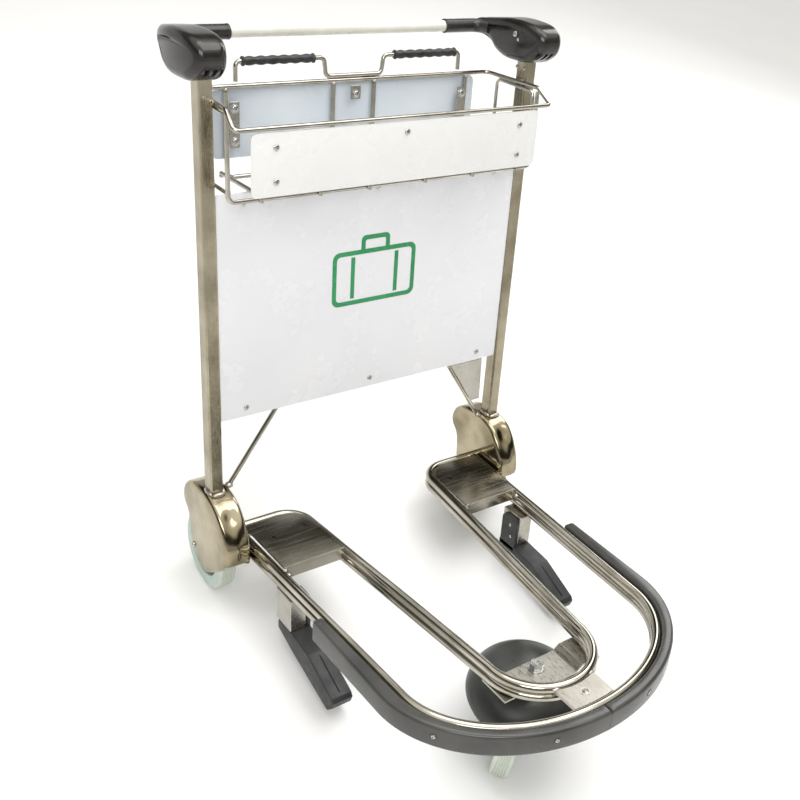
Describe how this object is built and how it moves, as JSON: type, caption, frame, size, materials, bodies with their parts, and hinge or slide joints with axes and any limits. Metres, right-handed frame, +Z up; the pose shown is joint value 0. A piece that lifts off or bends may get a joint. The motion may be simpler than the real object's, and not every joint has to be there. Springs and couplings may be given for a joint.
{
  "type": "airport luggage trolley",
  "caption": "Stainless airport luggage trolley with a sloping tube base, front bumper, swivelling front wheel, panelled back, wire basket and press-down brake handle.",
  "frame": {"origin": "middle of the bounding box on the ground", "axes": "+X across the trolley to its right seen from the front, -Y the way it rolls forward, +Z up"},
  "size_m": [0.71, 1.0683, 1.0051],
  "materials": {
    "stainless_tube": "satin",
    "basket_wire": "polished",
    "stainless_plate": "brushed",
    "polished_housing": "polished",
    "zinc_plated": "satin",
    "white_board": "satin",
    "pale_board": "satin",
    "cream_tube": "satin",
    "gloss_black_plastic": "glossy",
    "dark_plastic": "satin",
    "bumper_plastic": "satin",
    "ribbed_grip": "matte",
    "black_rubber": "matte",
    "pale_tyre": "matte"
  },
  "bodies": {
    "trolley_frame": {"back_board": "pale_board", "basket_back_frame": "basket_wire", "basket_back_wire_left": "basket_wire", "basket_back_wire_right": "basket_wire", "basket_floor_wires": "basket_wire", "basket_rim": "basket_wire", "basket_side_frame_left": "basket_wire", "basket_side_frame_right": "basket_wire", "board_clip": "stainless_plate", "board_strap_left": "stainless_plate", "board_strap_right": "stainless_plate", "brace_left": "stainless_tube", "brace_right": "stainless_tube", "bumper_left": "bumper_plastic", "bumper_right": "bumper_plastic", "carry_grip_left": "ribbed_grip", "carry_grip_right": "ribbed_grip", "carry_handle_wire": "basket_wire", "caster_bracket": "stainless_plate", "deck_plate_left": "stainless_plate", "deck_plate_right": "stainless_plate", "escalator_foot_left": "black_rubber", "escalator_foot_right": "black_rubber", "foot_bracket_left": "stainless_plate", "foot_bracket_right": "stainless_plate", "front_board": "white_board", "gusset_right": "stainless_plate", "handle_pivot_left": "zinc_plated", "handle_pivot_right": "zinc_plated", "inner_tube_lower": "stainless_tube", "inner_tube_upper": "stainless_tube", "kingpin": "zinc_plated", "main_panel": "white_board", "outer_tube_lower": "stainless_tube", "outer_tube_upper": "stainless_tube", "rear_axle_left": "zinc_plated", "rear_axle_right": "zinc_plated", "tie_plate": "stainless_plate", "upright_left": "stainless_tube", "upright_right": "stainless_tube", "wheel_housing_left": "polished_housing", "wheel_housing_right": "polished_housing"},
    "handle": {"handle_bar": "cream_tube", "handle_sleeve_left": "gloss_black_plastic", "handle_sleeve_right": "gloss_black_plastic", "handle_casing_left": "gloss_black_plastic", "handle_casing_right": "gloss_black_plastic"},
    "rear_wheel_left": {"rear_tyre_left": "pale_tyre", "rear_hub_left": "dark_plastic"},
    "rear_wheel_right": {"rear_tyre_right": "pale_tyre", "rear_hub_right": "dark_plastic"},
    "caster_fork": {"caster_hood": "dark_plastic", "caster_axle": "zinc_plated"},
    "caster_wheel": {"caster_tyre": "pale_tyre", "caster_hub": "dark_plastic"},
    "brake_rod_left": {"brake_rod_left": "zinc_plated"},
    "brake_rod_right": {"brake_rod_right": "zinc_plated"},
    "brake_shoe_left": {"brake_shoe_left": "black_rubber"},
    "brake_shoe_right": {"brake_shoe_right": "black_rubber"}
  },
  "joints": [
    {"name": "handle_press", "type": "hinge", "parent": "trolley_frame", "child": "handle", "pos_m": [0, 0.39296, 0.96884], "axis": [-1, 0, 0], "range_deg": [0, 8], "stiffness_Nm_per_rad": 25, "springref_deg": -9.17},
    {"name": "rear_wheel_left_spin", "type": "hinge", "parent": "trolley_frame", "child": "rear_wheel_left", "pos_m": [-0.322, 0.21125, 0.075], "axis": [1, 0, 0], "continuous": true},
    {"name": "brake_rod_left_lift", "type": "slide", "parent": "trolley_frame", "child": "brake_rod_left", "axis": [0, 0.2079, 0.9781], "range_m": [0, 0.0015]},
    {"name": "brake_shoe_left_lift", "type": "hinge", "parent": "trolley_frame", "child": "brake_shoe_left", "pos_m": [-0.322, 0.1808, 0.1751], "axis": [1, 0, 0], "range_deg": [0, 2.7]},
    {"name": "rear_wheel_right_spin", "type": "hinge", "parent": "trolley_frame", "child": "rear_wheel_right", "pos_m": [0.322, 0.21125, 0.075], "axis": [1, 0, 0], "continuous": true},
    {"name": "brake_rod_right_lift", "type": "slide", "parent": "trolley_frame", "child": "brake_rod_right", "axis": [0, 0.2079, 0.9781], "range_m": [0, 0.0015]},
    {"name": "brake_shoe_right_lift", "type": "hinge", "parent": "trolley_frame", "child": "brake_shoe_right", "pos_m": [0.322, 0.1808, 0.1751], "axis": [1, 0, 0], "range_deg": [0, 2.7]},
    {"name": "caster_swivel", "type": "hinge", "parent": "trolley_frame", "child": "caster_fork", "pos_m": [0, -0.35878, 0.17], "axis": [0, 0, 1], "continuous": true},
    {"name": "caster_wheel_spin", "type": "hinge", "parent": "caster_fork", "child": "caster_wheel", "pos_m": [-0.04571, -0.39449, 0.064], "axis": [0.6157, -0.788, 0], "continuous": true}
  ],
  "couplings": [
    {"joint": "brake_rod_left_lift", "follows": "handle_press", "m_per_rad": 0.0105},
    {"joint": "brake_shoe_left_lift", "follows": "handle_press", "ratio": 0.32812},
    {"joint": "brake_rod_right_lift", "follows": "handle_press", "m_per_rad": 0.0105},
    {"joint": "brake_shoe_right_lift", "follows": "handle_press", "ratio": 0.32812}
  ]
}
